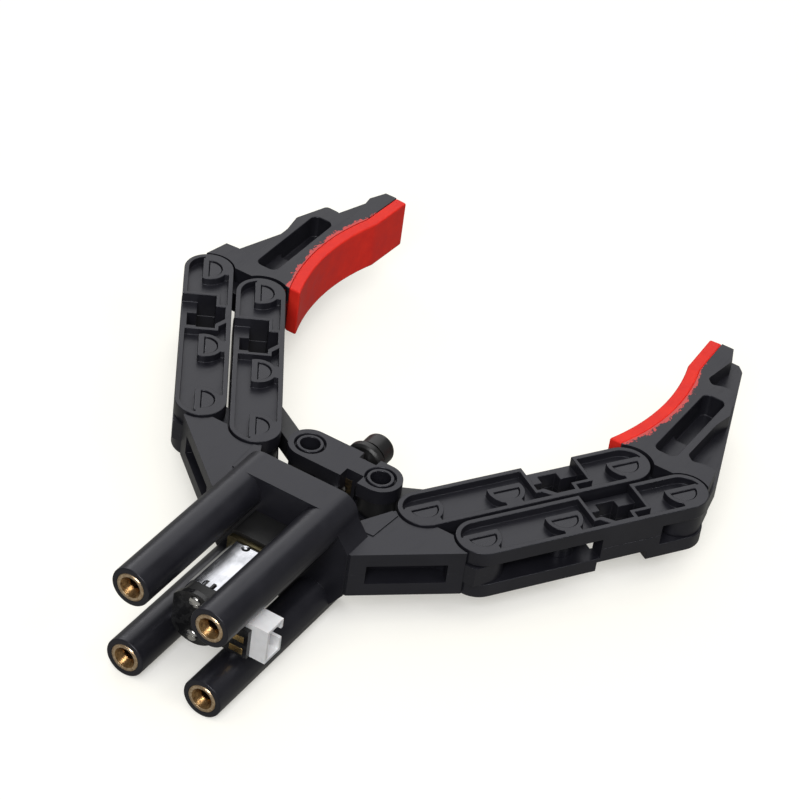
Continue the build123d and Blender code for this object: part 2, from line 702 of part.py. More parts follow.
def arm_half(plane, label):
    """One half of an arm: x runs from the base pivot to the tip pivot, z out of the arm's face."""
    with BuildPart() as half:
        with BuildSketch(plane):
            arm_blank(0)
        extrude(amount=ARM_TOP)
        with BuildSketch(plane):
            with Locations((ARM_LENGTH / 2, 0)):
                Rectangle(2 * ARM_LENGTH, 4 * ARM_HALF_WIDTH)
            with Locations((WEB_START, 0)):
                Rectangle(WEB_END - WEB_START, 4 * ARM_HALF_WIDTH, align=(Align.MIN, Align.CENTER),
                          mode=Mode.SUBTRACT)
        extrude(amount=FORK_Z, mode=Mode.SUBTRACT)
        with BuildSketch(plane.offset(ARM_TOP - RECESS_DEPTH)):
            arm_blank(RIM)
            add(bosses(), mode=Mode.SUBTRACT)
            add(cut_outline(CUT_WALL), mode=Mode.SUBTRACT)
        extrude(amount=RECESS_DEPTH, mode=Mode.SUBTRACT)
        with BuildSketch(plane.offset(ARM_TOP - LEDGE_DEPTH)):
            add(cut_outline(0))
        extrude(amount=LEDGE_DEPTH, mode=Mode.SUBTRACT)
        with BuildSketch(plane):
            with Locations((CUT_START, 0)):
                Rectangle(CUT_END - CUT_START, 2 * CUT_SIDE, align=(Align.MIN, Align.CENTER))
            with Locations((NOTCH_START, 0)):
                Rectangle(NOTCH_END - NOTCH_START, 2 * NOTCH_SIDE, align=(Align.MIN, Align.CENTER))
        extrude(amount=ARM_TOP, mode=Mode.SUBTRACT)
        with BuildSketch(plane.offset(FORK_Z)):
            add(half_moons(PIN_R + PRESS_GAP, PRESS_GAP))
        extrude(amount=ARM_TOP - FORK_Z, mode=Mode.SUBTRACT)
    finish(half, label)


def arm_pins(faces, label):
    """Three pins of an arm: round where they turn, half-moon ends that lock them in the arm's halves."""
    with BuildPart() as pins:
        for face in faces:
            with BuildSketch(face):
                with Locations(*[(along, 0) for along in PIVOTS]):
                    Circle(PIN_R)
            extrude(amount=FORK_Z - RUN_GAP)
            with BuildSketch(face.offset(FORK_Z - RUN_GAP)):
                add(half_moons(PIN_R, 0))
            extrude(amount=ARM_TOP - FORK_Z + RUN_GAP)
        chamfer(pins.faces().group_by(Axis.Z)[-1].edges(), PIN_CHAMFER)
        chamfer(pins.faces().group_by(Axis.Z)[0].edges(), PIN_CHAMFER)
    finish(pins, label)


def make_arm(side, base_x, name):
    """An arm: two alike halves, one turned over about the arm's long axis, and three pins."""
    run = (side * sin(radians(ARM_ANGLE)), cos(radians(ARM_ANGLE)), 0)
    up = Plane(origin=ahead(side * base_x, BASE_Y), x_dir=run, z_dir=(0, 0, 1))
    down = Plane(origin=ahead(side * base_x, BASE_Y), x_dir=run, z_dir=(0, 0, -1))
    arm_half(up, f"{name}_upper")
    arm_half(down, f"{name}_lower")
    arm_pins((up, down), f"{name}_pins")


def grip_curve():
    """Grip side of the pad: a hollow arc from the base to a kink, then a flat to the tip."""
    ThreePointArc((PAD_GRIP_BASE, PAD_BASE_Y), PAD_GRIP_MID, PAD_GRIP_KINK)
    Line(PAD_GRIP_KINK, PAD_GRIP_TIP)


def back_curve():
    """Where the pad meets the finger body: the grip side set back by the pad's thickness."""
    ThreePointArc(
        (PAD_GRIP_BASE + PAD_THICK, PAD_BASE_Y),
        (PAD_GRIP_MID[0] + PAD_THICK, PAD_GRIP_MID[1]),
        (PAD_GRIP_KINK[0] + PAD_THICK, PAD_GRIP_KINK[1]),
    )
    Line((PAD_GRIP_KINK[0] + PAD_THICK, PAD_GRIP_KINK[1]), (PAD_GRIP_TIP[0] + PAD_THICK, FINGER_TIP[1]))


def make_finger(side, name):
    """Finger: a middle flange with two lugs, a layer with a rib above and below it, and a red grip pad."""
    facing = Plane(origin=ahead(side * TIP_INNER_X, TIP_Y), x_dir=(side, 0, 0), z_dir=(0, 0, side))
    pad_back_base = (PAD_GRIP_BASE + PAD_THICK, PAD_BASE_Y)
    pad_back_tip = (PAD_GRIP_TIP[0] + PAD_THICK, FINGER_TIP[1])
    with BuildPart() as body:
        with BuildSketch(facing) as flange:
            with BuildLine():
                back_curve()
                Polyline(pad_back_tip, FLANGE_TIP, FLANGE_TOP, FLANGE_LOW, (ARM_SPACING + LUG_R, 0), (0, 0),
                         (-LUG_R, 0), pad_back_base)
            make_face()
            fillet(flange.vertices().sort_by_distance(FLANGE_TOP)[0], FLANGE_ROUND)
            with Locations((0, 0), (ARM_SPACING, 0)):
                Circle(LUG_R)
            with Locations((0, 0), (ARM_SPACING, 0)):
                Circle(BORE_R, mode=Mode.SUBTRACT)
        extrude(amount=LAYER_Z, both=True)
        with BuildSketch(facing.offset(-FINGER_TOP)) as layer:
            with BuildLine():
                back_curve()
                Polyline(
                    pad_back_tip,
                    FINGER_TIP,
                    TIP_HEEL,
                    POCKET_FOOT,
                    POCKET_LOW,
                    POCKET_OUT,
                    BUMP_HIGH,
                    BUMP_LOW,
                    RIB_HIGH,
                    RIB_LOW,
                    RIB_FOOT,
                    HEEL_IN,
                    HEEL_OUT,
                    (HEEL_SIDE_X, CUSP_Y),
                    (0, CUSP_Y),
                    pad_back_base,
                )
            make_face()
            fillet([layer.vertices().sort_by_distance(corner)[0] for corner in LAYER_CORNERS], LAYER_ROUND)
            with Locations((0, 0)):
                Circle(INNER_SWEEP_R, mode=Mode.SUBTRACT)
            with Locations((ARM_SPACING, 0)):
                Circle(OUTER_SWEEP_R, mode=Mode.SUBTRACT)
            with Locations(((SLOT_X[0] + SLOT_X[1]) / 2, (SLOT_Y[0] + SLOT_Y[1]) / 2)):
                RectangleRounded(SLOT_X[1] - SLOT_X[0], SLOT_Y[1] - SLOT_Y[0], SLOT_ROUND, mode=Mode.SUBTRACT)
        extrude(amount=FINGER_TOP - LAYER_Z)
        mirror(about=facing)
        for floor in (-LAYER_Z, SLOT_WEB / 2):
            with BuildSketch(facing.offset(floor)):
                with Locations(((SLOT_X[0] + SLOT_X[1]) / 2, (SLOT_STEP_Y + SLOT_Y[1]) / 2)):
                    RectangleRounded(SLOT_X[1] - SLOT_X[0], SLOT_Y[1] - SLOT_STEP_Y, SLOT_ROUND)
            extrude(amount=LAYER_Z - SLOT_WEB / 2, mode=Mode.SUBTRACT)
    finish(body, f"{name}_body")

    with BuildPart() as pad:
        with BuildSketch(facing):
            with BuildLine():
                grip_curve()
                Line(PAD_GRIP_TIP, pad_back_tip)
                back_curve()
                Line(pad_back_base, (PAD_GRIP_BASE, PAD_BASE_Y))
            make_face()
        extrude(amount=FINGER_TOP, both=True)
    finish(pad, f"{name}_pad")


def main():
    make_base()
    make_inserts()
    make_case_screws()
    make_motor()
    make_connector()
    make_gearbox()
    make_drive()
    make_crosshead()
    for side, hand in ((-1, "left"), (1, "right")):
        make_link(side, f"{hand}_drive_link")
        make_arm(side, BASE_INNER_X, f"{hand}_inner_arm")
        make_arm(side, BASE_OUTER_X, f"{hand}_outer_arm")
        make_finger(side, f"{hand}_finger")


main()
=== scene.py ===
"""Looks of the robot claw gripper: black plastic, red grips, brass, a bright motor and a white studio."""

import json
from math import cos, radians, sin, tau

import bmesh
import bpy
from mathutils import Matrix, Vector


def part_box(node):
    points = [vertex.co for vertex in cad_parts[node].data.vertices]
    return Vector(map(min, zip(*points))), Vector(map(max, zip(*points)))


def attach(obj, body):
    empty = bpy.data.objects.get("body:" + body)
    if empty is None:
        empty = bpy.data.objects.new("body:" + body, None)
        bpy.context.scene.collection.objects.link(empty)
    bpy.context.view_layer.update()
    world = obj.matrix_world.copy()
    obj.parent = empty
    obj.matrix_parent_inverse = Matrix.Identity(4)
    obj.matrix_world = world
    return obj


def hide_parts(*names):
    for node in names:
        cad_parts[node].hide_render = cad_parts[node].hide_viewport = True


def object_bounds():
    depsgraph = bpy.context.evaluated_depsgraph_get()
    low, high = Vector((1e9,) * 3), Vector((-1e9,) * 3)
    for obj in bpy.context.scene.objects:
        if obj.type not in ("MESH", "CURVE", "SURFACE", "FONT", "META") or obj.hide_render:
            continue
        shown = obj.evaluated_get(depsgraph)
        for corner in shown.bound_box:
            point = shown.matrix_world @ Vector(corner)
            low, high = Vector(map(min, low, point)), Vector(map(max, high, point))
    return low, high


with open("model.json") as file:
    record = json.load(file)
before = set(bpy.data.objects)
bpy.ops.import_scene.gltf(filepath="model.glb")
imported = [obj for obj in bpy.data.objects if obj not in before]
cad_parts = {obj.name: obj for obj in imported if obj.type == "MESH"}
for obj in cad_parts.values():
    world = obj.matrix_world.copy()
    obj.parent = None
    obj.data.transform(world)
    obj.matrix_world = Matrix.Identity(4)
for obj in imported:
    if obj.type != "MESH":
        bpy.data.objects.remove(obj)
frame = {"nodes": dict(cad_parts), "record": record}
CAD_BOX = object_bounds()
NODES = frame["nodes"]
BODIES = frame["record"]["behaviour"]["bodies"]
BODY_OF = {node: body for body, nodes in BODIES.items() for node in nodes}
SLOT_OF = {part["node"]: part["material_slot"] for part in frame["record"]["subparts"]}
MM = 0.001

# Camera, fitted to the photograph: angles in degrees, lengths in mm
CAMERA_AZIMUTH = 26.797
CAMERA_ELEVATION = 37.596
CAMERA_ROLL = 8.315
CAMERA_DISTANCE = 860.676
CAMERA_TARGET = (-6.994, 123.247, 0.0)
CAMERA_LENS = 138.111
SENSOR = 36.0

# Black plastic, and the faint blue of its gloss
PLASTIC = (0.0100, 0.0100, 0.0135)
SHEEN = (0.93, 0.93, 1.0, 1.0)
GLOSS = {"specular_ior_level": 0.42, "specular_tint": SHEEN}

# Where the grip pad meets the right finger: three places, outward and ahead in mm, and the end of its heel
SEAM = ((54.985, 138.03), (59.485, 164.83), (56.585, 182.43))
SEAM_HEEL = 138.3

# The red smeared over that seam: in mm its least and most width and how far it reaches back over the seam,
# then the share of its width that is solid, how well it covers, and its colour
SMEAR_WIDTH = (0.35, 2.0)
SMEAR_BEFORE = 1.2
SMEAR_SOLID = 0.6
SMEAR_COVER = 0.9
SMEAR_RED = (0.72, 0.06, 0.05)

# Studio, in metres: the place that the lamps look at, the floor's half width, and its middle ahead.
# The floor lies a little under the object, in mm. The surround has a level for light and one for mirrors.
STUDIO_MIDDLE = (0.0, 0.11, 0.0)
FLOOR_HALF = 3.0
FLOOR_MIDDLE = 0.1
FLOOR_BELOW = 0.02
WORLD_FILL = 0.13
WORLD_MIRRORED = 0.06

# Floor: its colour to the eye and to the light, and its glow, which fades within a reach of the object, in m
FLOOR_SEEN = (0.93, 0.94, 0.97)
FLOOR_UNSEEN = (0.22, 0.22, 0.21)
FLOOR_GLOW = (1.0, 0.975, 0.885)
FLOOR_GLOW_STRENGTH = 1.2
FLOOR_GLOW_SHARE = 0.70
FLOOR_GLOW_REACH = 0.030
FLOOR_GLOW_LEAST = 0.35
FLOOR_GLOW_MIRRORED = 0.12

# Lamps: name, azimuth and elevation in degrees, distance and size in metres, power in watts
LAMPS = (
    ("softbox_beyond", 206.0, 41.0, 1.25, 1.15, 5.0),
    ("softbox_above", 60.0, 84.0, 1.3, 1.1, 3.5),
    ("spot_right", 92.0, 46.0, 1.3, 0.28, 2.2),
    ("spot_left", 240.0, 30.0, 1.3, 0.28, 1.6),
    ("softbox_near", 20.0, 40.0, 1.4, 0.6, 11.0),
)

# Inserts in the posts, in mm, with the least plain stretch at the bore's far end, and the pitch of the rings
# that turning left on their face
POST_PITCH = 24.0
INSERT_R = 4.0
INSERT_MOUTH_R = 3.05
INSERT_MOUTH_DEPTH = 2.2
INSERT_LENGTH = 8.0
INSERT_PLAIN = 0.3
RING_PITCH = 0.11

# Their thread: radius, depth and pitch in mm, and where in a pitch its root and its next crest lie
THREAD_R = 2.0
THREAD_ROOT = 0.38
THREAD_PITCH = 0.7
THREAD_ROOT_AT = 0.45
THREAD_CREST_AT = 0.9

# Lead screw, in mm: its thread's radii, lead and starts, and the plain stretch at each end
SCREW_R = 2.5
SCREW_ROOT_R = 1.9
SCREW_LEAD = 4.0
SCREW_STARTS = 2
SCREW_PLAIN = 4.2

# Its section: corners round it, steps for each turn along it, and the height and slope of the crest's sides
SCREW_SIDES = 48
SCREW_STEPS = 24
CREST_FULL = 3.0
CREST_SLOPE = 10.0

# Arm halves and pins, in mm: the top face, the recess's floor, the area in mm2 under which a pool of it is
# filled, and how deep the pin ends are sunk
ARM_TOP = 7.6
ARM_RECESS_Z = 5.4
SMALL_POOL = 5.0
PIN_SUNK = 0.38

# Facets between the block and the wings, in mm: how far out they start, their level, and their rise
FACET_X = 14.0
FACET_Z = 6.5
FACET_RISE = 0.75

# A face counts as level past this share of its normal, and as at a height within this many mm
FACES_UP = 0.9
LEVEL_SLACK = 0.05

# Solder on the board's two terminals, in mm, and how full the mounds are: 1 is round, less is squarer
SOLDER_Y = 12.02
SOLDER_Z = 5.6
SOLDER_R = 1.75
SOLDER_HEIGHT = 0.85
SOLDER_FULLNESS = 0.8

# The can's rear tab between two slits, painted black as the shade inside them, and the dimple near its front
# with the flat share of it, in mm
CAN_TAB_X = -0.7
CAN_TAB_HALF = 0.6
CAN_SLIT_END = 1.6
CAN_SLIT_Y = 20.6
DIMPLE = (-1.4, 36.9)
DIMPLE_R = 1.2
DIMPLE_FLAT = 0.35

# How far each kind of piece has its hard edges rounded, in mm
ROUND = {
    "base": 0.35,
    "arm": 0.22,
    "finger": 0.3,
    "pad": 0.55,
    "crosshead": 0.25,
    "link": 0.2,
    "small": 0.08,
}

# Rounding: segments, the angle past which an edge is hard, and the angle past which it still shades sharp
ROUND_SEGMENTS = 2
HARD_EDGE = radians(34)
SHARP_SHADING = radians(50)


class Field:
    """A value that varies over a surface. Arithmetic on it adds Math nodes."""

    def __init__(self, finish, socket):
        self.finish = finish
        self.socket = socket

    def join(self, operation, first, second):
        """A Math node on two values."""
        return self.finish.node("ShaderNodeMath", {"operation": operation}, [first, second])

    def __add__(self, other):
        return self.join("ADD", self, other)

    def __radd__(self, other):
        return self.join("ADD", other, self)

    def __sub__(self, other):
        return self.join("SUBTRACT", self, other)

    def __rsub__(self, other):
        return self.join("SUBTRACT", other, self)

    def __mul__(self, other):
        return self.join("MULTIPLY", self, other)

    def __rmul__(self, other):
        return self.join("MULTIPLY", other, self)

    def __pow__(self, other):
        return self.join("POWER", self, other)

    def __gt__(self, other):
        return self.join("GREATER_THAN", self, other)

    def __lt__(self, other):
        return self.join("LESS_THAN", self, other)

    def __abs__(self):
        return self.finish.node("ShaderNodeMath", {"operation": "ABSOLUTE"}, [self])

    def sine(self):
        return self.finish.node("ShaderNodeMath", {"operation": "SINE"}, [self])

    def ramp(self, low, high, start=0.0, end=1.0):
        """Clamped straight line from start at low to end at high."""
        return self.finish.node("ShaderNodeMapRange", {"clamp": True}, [self, low, high, start, end])


class Shading:
    """A node tree whose values are written as fields."""

    def __init__(self, tree):
        self.tree = tree

    def node(self, kind, settings=None, inputs=(), output=0):
        """Add a node, its settings before its sockets, and give back one output."""
        made = self.tree.nodes.new(kind)
        for name, value in (settings or {}).items():
            setattr(made, name, value)
        pairs = inputs.items() if isinstance(inputs, dict) else enumerate(inputs)
        for key, value in pairs:
            self.feed(made.inputs[key], value)
        return Field(self, made.outputs[output])

    def feed(self, socket, value):
        """Link a field into a socket, or write a plain value there."""
        if isinstance(value, Field):
            self.tree.links.new(value.socket, socket)
        else:
            socket.default_value = value

    def ray(self, kind):
        """1 where the ray that arrives is of this kind, else 0."""
        return self.node("ShaderNodeLightPath", output=f"Is {kind} Ray")


class Finish(Shading):
    """One material: a Principled surface, and nodes that vary it over Object coordinates."""

    def __init__(self, name, colour, roughness, **constants):
        self.material = bpy.data.materials.new(name)
        self.material.use_nodes = True
        super().__init__(self.material.node_tree)
        self.tree.nodes.clear()
        self.surface = self.tree.nodes.new("ShaderNodeBsdfPrincipled")
        self.output = self.tree.nodes.new("ShaderNodeOutputMaterial")
        self.tree.links.new(self.surface.outputs["BSDF"], self.output.inputs["Surface"])
        self.place = self.node("ShaderNodeTexCoord", output="Object")
        self.set("Base Color", (*colour, 1.0))
        self.set("Roughness", roughness)
        for name, value in constants.items():
            self.set(name.replace("_", " ").title().replace("Ior", "IOR"), value)

    def set(self, name, value):
        """Give the surface's own socket a field or a plain value."""
        self.feed(self.surface.inputs[name], value)

    def colour_so_far(self):
        """The field that now feeds Base Color."""
        return Field(self, self.surface.inputs["Base Color"].links[0].from_socket)

    def stretched(self, scale):
        """Object coordinates stretched by a scale for each axis."""
        inputs = {"Vector": self.place, "Scale": scale}
        return self.node("ShaderNodeMapping", {"vector_type": "POINT"}, inputs)

    def axes(self):
        """The x, y and z of Object coordinates, as three fields."""
        split = self.tree.nodes.new("ShaderNodeSeparateXYZ")
        self.feed(split.inputs[0], self.place)
        return [Field(self, output) for output in split.outputs]

    def noise(self, size, detail=3.0, rough=0.5, stretch=(1.0, 1.0, 1.0), warp=0.0):
        """Cloudy noise with blotches of about a size in mm, longer where stretch is over 1."""
        scale = tuple(1.0 / (size * MM * long) for long in stretch)
        inputs = {
            "Vector": self.stretched(scale),
            "Scale": 1.0,
            "Detail": detail,
            "Roughness": rough,
            "Distortion": warp,
        }
        return self.node("ShaderNodeTexNoise", {"noise_dimensions": "3D"}, inputs)

    def mix(self, factor, first, second):
        """Blend two colours, each a colour or a field."""
        inputs = {0: factor}
        for key, colour in ((6, first), (7, second)):
            inputs[key] = colour if isinstance(colour, Field) else (*colour, 1.0)
        return self.node("ShaderNodeMix", {"data_type": "RGBA"}, inputs, output=2)

    def bump(self, height, depth, under=None):
        """Raise the surface by a height field, depth in mm, over an earlier bump if there is one."""
        inputs = {"Height": height, "Distance": depth * MM, "Strength": 1.0}
        if under:
            inputs["Normal"] = under
        normal = self.node("ShaderNodeBump", None, inputs)
        self.set("Normal", normal)
        return normal


def moulded(name, colour, roughness, grain, **constants):
    """Black moulded plastic: a fine spark-eroded grain, cloudy gloss, and faint rubbed streaks."""
    finish = Finish(name, colour, roughness, **constants)
    cloud = finish.noise(14.0, detail=4.0, rough=0.55)
    rubbed = finish.noise(2.2, detail=5.0, stretch=(0.35, 4.0, 1.0), warp=0.4).ramp(0.56, 0.72)
    paler = tuple(channel * 1.35 + 0.002 for channel in colour)
    finish.set("Base Color", finish.mix(cloud.ramp(0.35, 0.7), colour, paler))
    finish.set("Roughness", cloud.ramp(0.3, 0.7, roughness - 0.05, roughness + 0.06) + rubbed * 0.08)
    skin = finish.bump(finish.noise(0.16, detail=2.0), grain)
    finish.bump(finish.noise(4.0, detail=2.0), grain * 3.0, under=skin)
    return finish


def circle_through(first, second, third):
    """Centre and radius of the circle through three points in a plane."""
    (ax, ay), (bx, by), (cx, cy) = first, second, third
    a, b = bx - ax, by - ay
    c, d = cx - ax, cy - ay
    e = (a * (ax + bx) + b * (ay + by)) / 2
    f = (c * (ax + cx) + d * (ay + cy)) / 2
    spread = a * d - b * c
    x, y = (d * e - b * f) / spread, (a * f - c * e) / spread
    return (x, y), ((ax - x) ** 2 + (ay - y) ** 2) ** 0.5


def finger_plastic(name, colour):
    """Moulded plastic of the fingers, with smears of the red pad along the seam where it was moulded on."""
    finish = moulded(name, colour, 0.36, 0.004, **GLOSS)
    (centre_x, centre_y), radius = circle_through(*SEAM)
    x, y, z = finish.axes()
    outward = abs(x) - centre_x * MM
    ahead = y - centre_y * MM
    past = (outward * outward + ahead * ahead) ** 0.5 - radius * MM
    least, most = SMEAR_WIDTH
    reach = finish.noise(3.4, detail=4.0, rough=0.65).ramp(0.40, 0.66, least * MM, most * MM)
    solid = past < reach * SMEAR_SOLID
    patchy = (past < reach) * finish.noise(0.9, detail=3.0).ramp(0.40, 0.52)
    along = (y > SEAM_HEEL * MM) * (past > -SMEAR_BEFORE * MM)
    smear = (1 - (1 - solid) * (1 - patchy)) * along
    finish.set("Base Color", finish.mix(smear * SMEAR_COVER, finish.colour_so_far(), SMEAR_RED))
    return finish


def grip_rubber():
    """Red grip pads: satin rubber, a little blotchy, with a soft uneven skin."""
    finish = Finish("grip_rubber", (0.80, 0.040, 0.024), 0.5, specular_ior_level=0.2)
    blotch = finish.noise(6.0, detail=4.0, rough=0.6)
    red = finish.mix(blotch.ramp(0.35, 0.68), (0.80, 0.022, 0.015), (0.92, 0.038, 0.022))
    finish.set("Base Color", red)
    finish.set("Roughness", blotch.ramp(0.3, 0.7, 0.44, 0.60))
    skin = finish.bump(finish.noise(0.35, detail=3.0), 0.012)
    finish.bump(finish.noise(3.5, detail=2.0), 0.05, under=skin)
    return finish


def insert_brass():
    """Turned brass of the inserts: a pale ring, and a countersink and thread in coppery brass darkened as
    painted shade inside the bore.
    """
    finish = Finish("brass", (0.80, 0.58, 0.34), 0.3, metallic=1.0)
    x, y, z = finish.axes()
    across = abs(x) - POST_PITCH / 2 * MM
    upward = abs(z) - POST_PITCH / 2 * MM
    radius = (across * across + upward * upward) ** 0.5
    rings = (radius * (tau / (RING_PITCH * MM))).sine()
    tarnish = finish.noise(0.9, detail=5.0, rough=0.65).ramp(0.40, 0.66)
    ring = finish.mix(tarnish, (0.88, 0.68, 0.46), (0.50, 0.33, 0.18))
    # The countersink and thread are darkened in colour: painted shade inside the bore
    painted_shade_cone = finish.mix(tarnish, (0.44, 0.26, 0.11), (0.13, 0.07, 0.03))
    finish.set("Base Color", finish.mix(radius > INSERT_MOUTH_R * MM, painted_shade_cone, ring))
    finish.set("Roughness", tarnish * 0.2 + 0.2)
    finish.bump(rings, 0.006)
    return finish


def painted_shade_plate_brass():
    """Stamped brass of the gearbox plates, darkened to olive brown as painted shade and a painted reflection
    of the dark gearbox cover.
    """
    # The dark olive-brown colour is painted shade and a painted reflection of the dark cover, not the
    # brass's own colour
    finish = Finish("painted_shade_plate_brass", (0.24, 0.19, 0.10), 0.38, metallic=1.0)
    dull = finish.noise(1.8, detail=4.0, rough=0.6).ramp(0.38, 0.7)
    finish.set("Base Color", finish.mix(dull, (0.20, 0.17, 0.09), (0.08, 0.065, 0.04)))
    finish.set("Roughness", dull * 0.2 + 0.3)
    finish.bump(dull, 0.008)
    return finish


def greased_brass():
    """Brass of the nut on the lead screw, brown under a film of dark grease."""
    finish = Finish("greased_brass", (0.06, 0.045, 0.025), 0.45, metallic=0.7)
    film = finish.noise(1.4, detail=4.0, rough=0.6).ramp(0.42, 0.75)
    finish.set("Base Color", finish.mix(film, (0.035, 0.028, 0.020), (0.16, 0.11, 0.05)))
    finish.set("Roughness", film.ramp(0.0, 1.0, 0.38, 0.6))
    finish.bump(film, 0.02)
    return finish


def drawn_steel():
    """Bright drawn steel of the motor can: fine streaks along its axis, a few handling marks, and its rear
    slits painted black as the shade inside them.
    """
    finish = Finish("can_steel", (0.62, 0.63, 0.66), 0.2, metallic=1.0)
    streak = finish.noise(0.4, detail=4.0, stretch=(0.5, 16.0, 0.5))
    mark = finish.noise(5.0, detail=3.0, rough=0.5)
    finish.set("Base Color", finish.mix(mark.ramp(0.42, 0.72), (0.78, 0.79, 0.83), (0.50, 0.51, 0.54)))
    finish.set("Roughness", streak.ramp(0.3, 0.7, 0.15, 0.26))
    x, y, z = finish.axes()
    aside = abs(x - CAN_TAB_X * MM)
    # The slits are not cut: painted shade, black and not metallic, stands where they open
    painted_shade_slit = (aside > CAN_TAB_HALF * MM) * (aside < CAN_SLIT_END * MM) * (y < CAN_SLIT_Y * MM)
    finish.set("Base Color", finish.mix(painted_shade_slit, finish.colour_so_far(), (0.01, 0.01, 0.01)))
    finish.set("Metallic", 1.0 - painted_shade_slit)
    across, ahead = x - DIMPLE[0] * MM, y - DIMPLE[1] * MM
    dimple = ((across * across + ahead * ahead) ** 0.5).ramp(DIMPLE_R * DIMPLE_FLAT * MM, DIMPLE_R * MM)
    dent = finish.bump(finish.noise(9.0, detail=1.0), 0.2)
    pressed = finish.bump(dimple, 0.45, under=dent)
    finish.bump(streak, 0.004, under=pressed)
    return finish


def turned_steel():
    """Steel of the lead screw, shaft, coupling and screws: grey, with fine turning and a film of grease."""
    finish = Finish("screw_steel", (0.55, 0.55, 0.57), 0.3, metallic=1.0)
    film = finish.noise(2.5, detail=4.0, rough=0.6).ramp(0.4, 0.7)
    finish.set("Base Color", finish.mix(film, (0.62, 0.62, 0.64), (0.30, 0.29, 0.28)))
    finish.set("Roughness", film * 0.15 + 0.24)
    finish.bump(finish.noise(0.3, detail=2.0, stretch=(4.0, 0.3, 4.0)), 0.006)
    return finish


def board_mask():
    """Black solder mask: glossy, with the copper tracks standing faintly through it."""
    finish = Finish("board", (0.006, 0.006, 0.007), 0.2)
    tracks = finish.noise(2.4, detail=1.0).ramp(0.50, 0.54)
    finish.set("Base Color", finish.mix(tracks, (0.006, 0.006, 0.007), (0.016, 0.016, 0.017)))
    finish.set("Roughness", finish.noise(0.6, detail=3.0).ramp(0.3, 0.7, 0.16, 0.27))
    finish.bump(tracks, 0.015)
    return finish


def tin():
    """Tinned solder and contacts: bright, puddled, slightly grey."""
    finish = Finish("solder", (0.72, 0.71, 0.69), 0.22, metallic=1.0)
    puddle = finish.noise(0.7, detail=3.0)
    finish.set("Base Color", finish.mix(puddle.ramp(0.3, 0.7), (0.78, 0.77, 0.75), (0.50, 0.49, 0.47)))
    finish.set("Roughness", puddle.ramp(0.3, 0.7, 0.14, 0.32))
    finish.bump(puddle, 0.03)
    return finish


def gold_plate():
    """Gold-plated pads of the board, dulled in random patches."""
    finish = Finish("gold_pad", (0.85, 0.60, 0.25), 0.25, metallic=1.0)
    dull = finish.noise(1.0, detail=4.0).ramp(0.4, 0.7)
    finish.set("Base Color", finish.mix(dull, (0.90, 0.64, 0.28), (0.55, 0.33, 0.12)))
    finish.set("Roughness", dull * 0.2 + 0.2)
    finish.bump(dull, 0.01)
    return finish


def white_nylon():
    """White connector nylon: milky, satin, with faint flow marks."""
    finish = Finish("white_plastic", (0.95, 0.95, 0.95), 0.36, subsurface_weight=0.15)
    finish.surface.inputs["Subsurface Radius"].default_value = (0.0012, 0.0010, 0.0009)
    flow = finish.noise(3.0, detail=3.0, warp=0.6)
    finish.set("Base Color", finish.mix(flow.ramp(0.35, 0.7), (0.97, 0.97, 0.98), (0.88, 0.88, 0.89)))
    finish.set("Roughness", flow.ramp(0.3, 0.7, 0.34, 0.48))
    finish.bump(finish.noise(0.2, detail=2.0), 0.004)
    return finish


# The finish of each material slot, and of the nodes that differ from their slot
FINISHES = {
    "black_plastic": moulded("black_plastic", PLASTIC, 0.34, 0.004, **GLOSS),
    "arm_plastic": moulded("arm_plastic", PLASTIC, 0.32, 0.004, **GLOSS),
    "pin_plastic": moulded("pin_plastic", PLASTIC, 0.26, 0.003, **GLOSS),
    "link_plastic": moulded("link_plastic", (0.0080, 0.0080, 0.0090), 0.42, 0.005),
    "cap_plastic": moulded("cap_plastic", (0.0080, 0.0080, 0.0082), 0.40, 0.006),
    "grip_rubber": grip_rubber(),
    "brass": insert_brass(),
    "can_steel": drawn_steel(),
    "screw_steel": turned_steel(),
    "board": board_mask(),
    "solder": tin(),
    "gold_pad": gold_plate(),
    "white_plastic": white_nylon(),
}
FINGER_FINISH = finger_plastic("finger_plastic", PLASTIC)
PLATE_FINISH = painted_shade_plate_brass()
SPECIAL = {
    "left_finger_body": FINGER_FINISH,
    "right_finger_body": FINGER_FINISH,
    "crosshead_nut": greased_brass(),
    "gearbox_rear_plate": PLATE_FINISH,
    "gearbox_front_plate": PLATE_FINISH,
}


def heal(shape):
    """Join corners that have come together, and make the flat faces whole."""
    bmesh.ops.remove_doubles(shape, verts=shape.verts, dist=0.002 * MM)
    bmesh.ops.dissolve_limit(shape, angle_limit=radians(0.6), verts=shape.verts, edges=shape.edges)


def merged_copy(node):
    """A bmesh of a CAD node, its triangles joined and its flat faces made whole."""
    shape = bmesh.new()
    shape.from_mesh(NODES[node].data)
    heal(shape)
    return shape


def settle(piece, node):
    """A piece that stands for a CAD node: same body, the finish of its slot unless the node has its own, and
    the node hidden.
    """
    slot = SLOT_OF[node]
    finish = SPECIAL.get(node) or FINISHES[slot]
    piece.data.materials.clear()
    piece.data.materials.append(finish.material)
    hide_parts(node)
    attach(piece, BODY_OF[node])
    return piece


def piece_from(shape, name):
    """Make an object at the origin from a bmesh, smooth shaded."""
    mesh = bpy.data.meshes.new(name)
    for face in shape.faces:
        face.smooth = True
    shape.to_mesh(mesh)
    shape.free()
    piece = bpy.data.objects.new(name, mesh)
    bpy.context.scene.collection.objects.link(piece)
    return piece


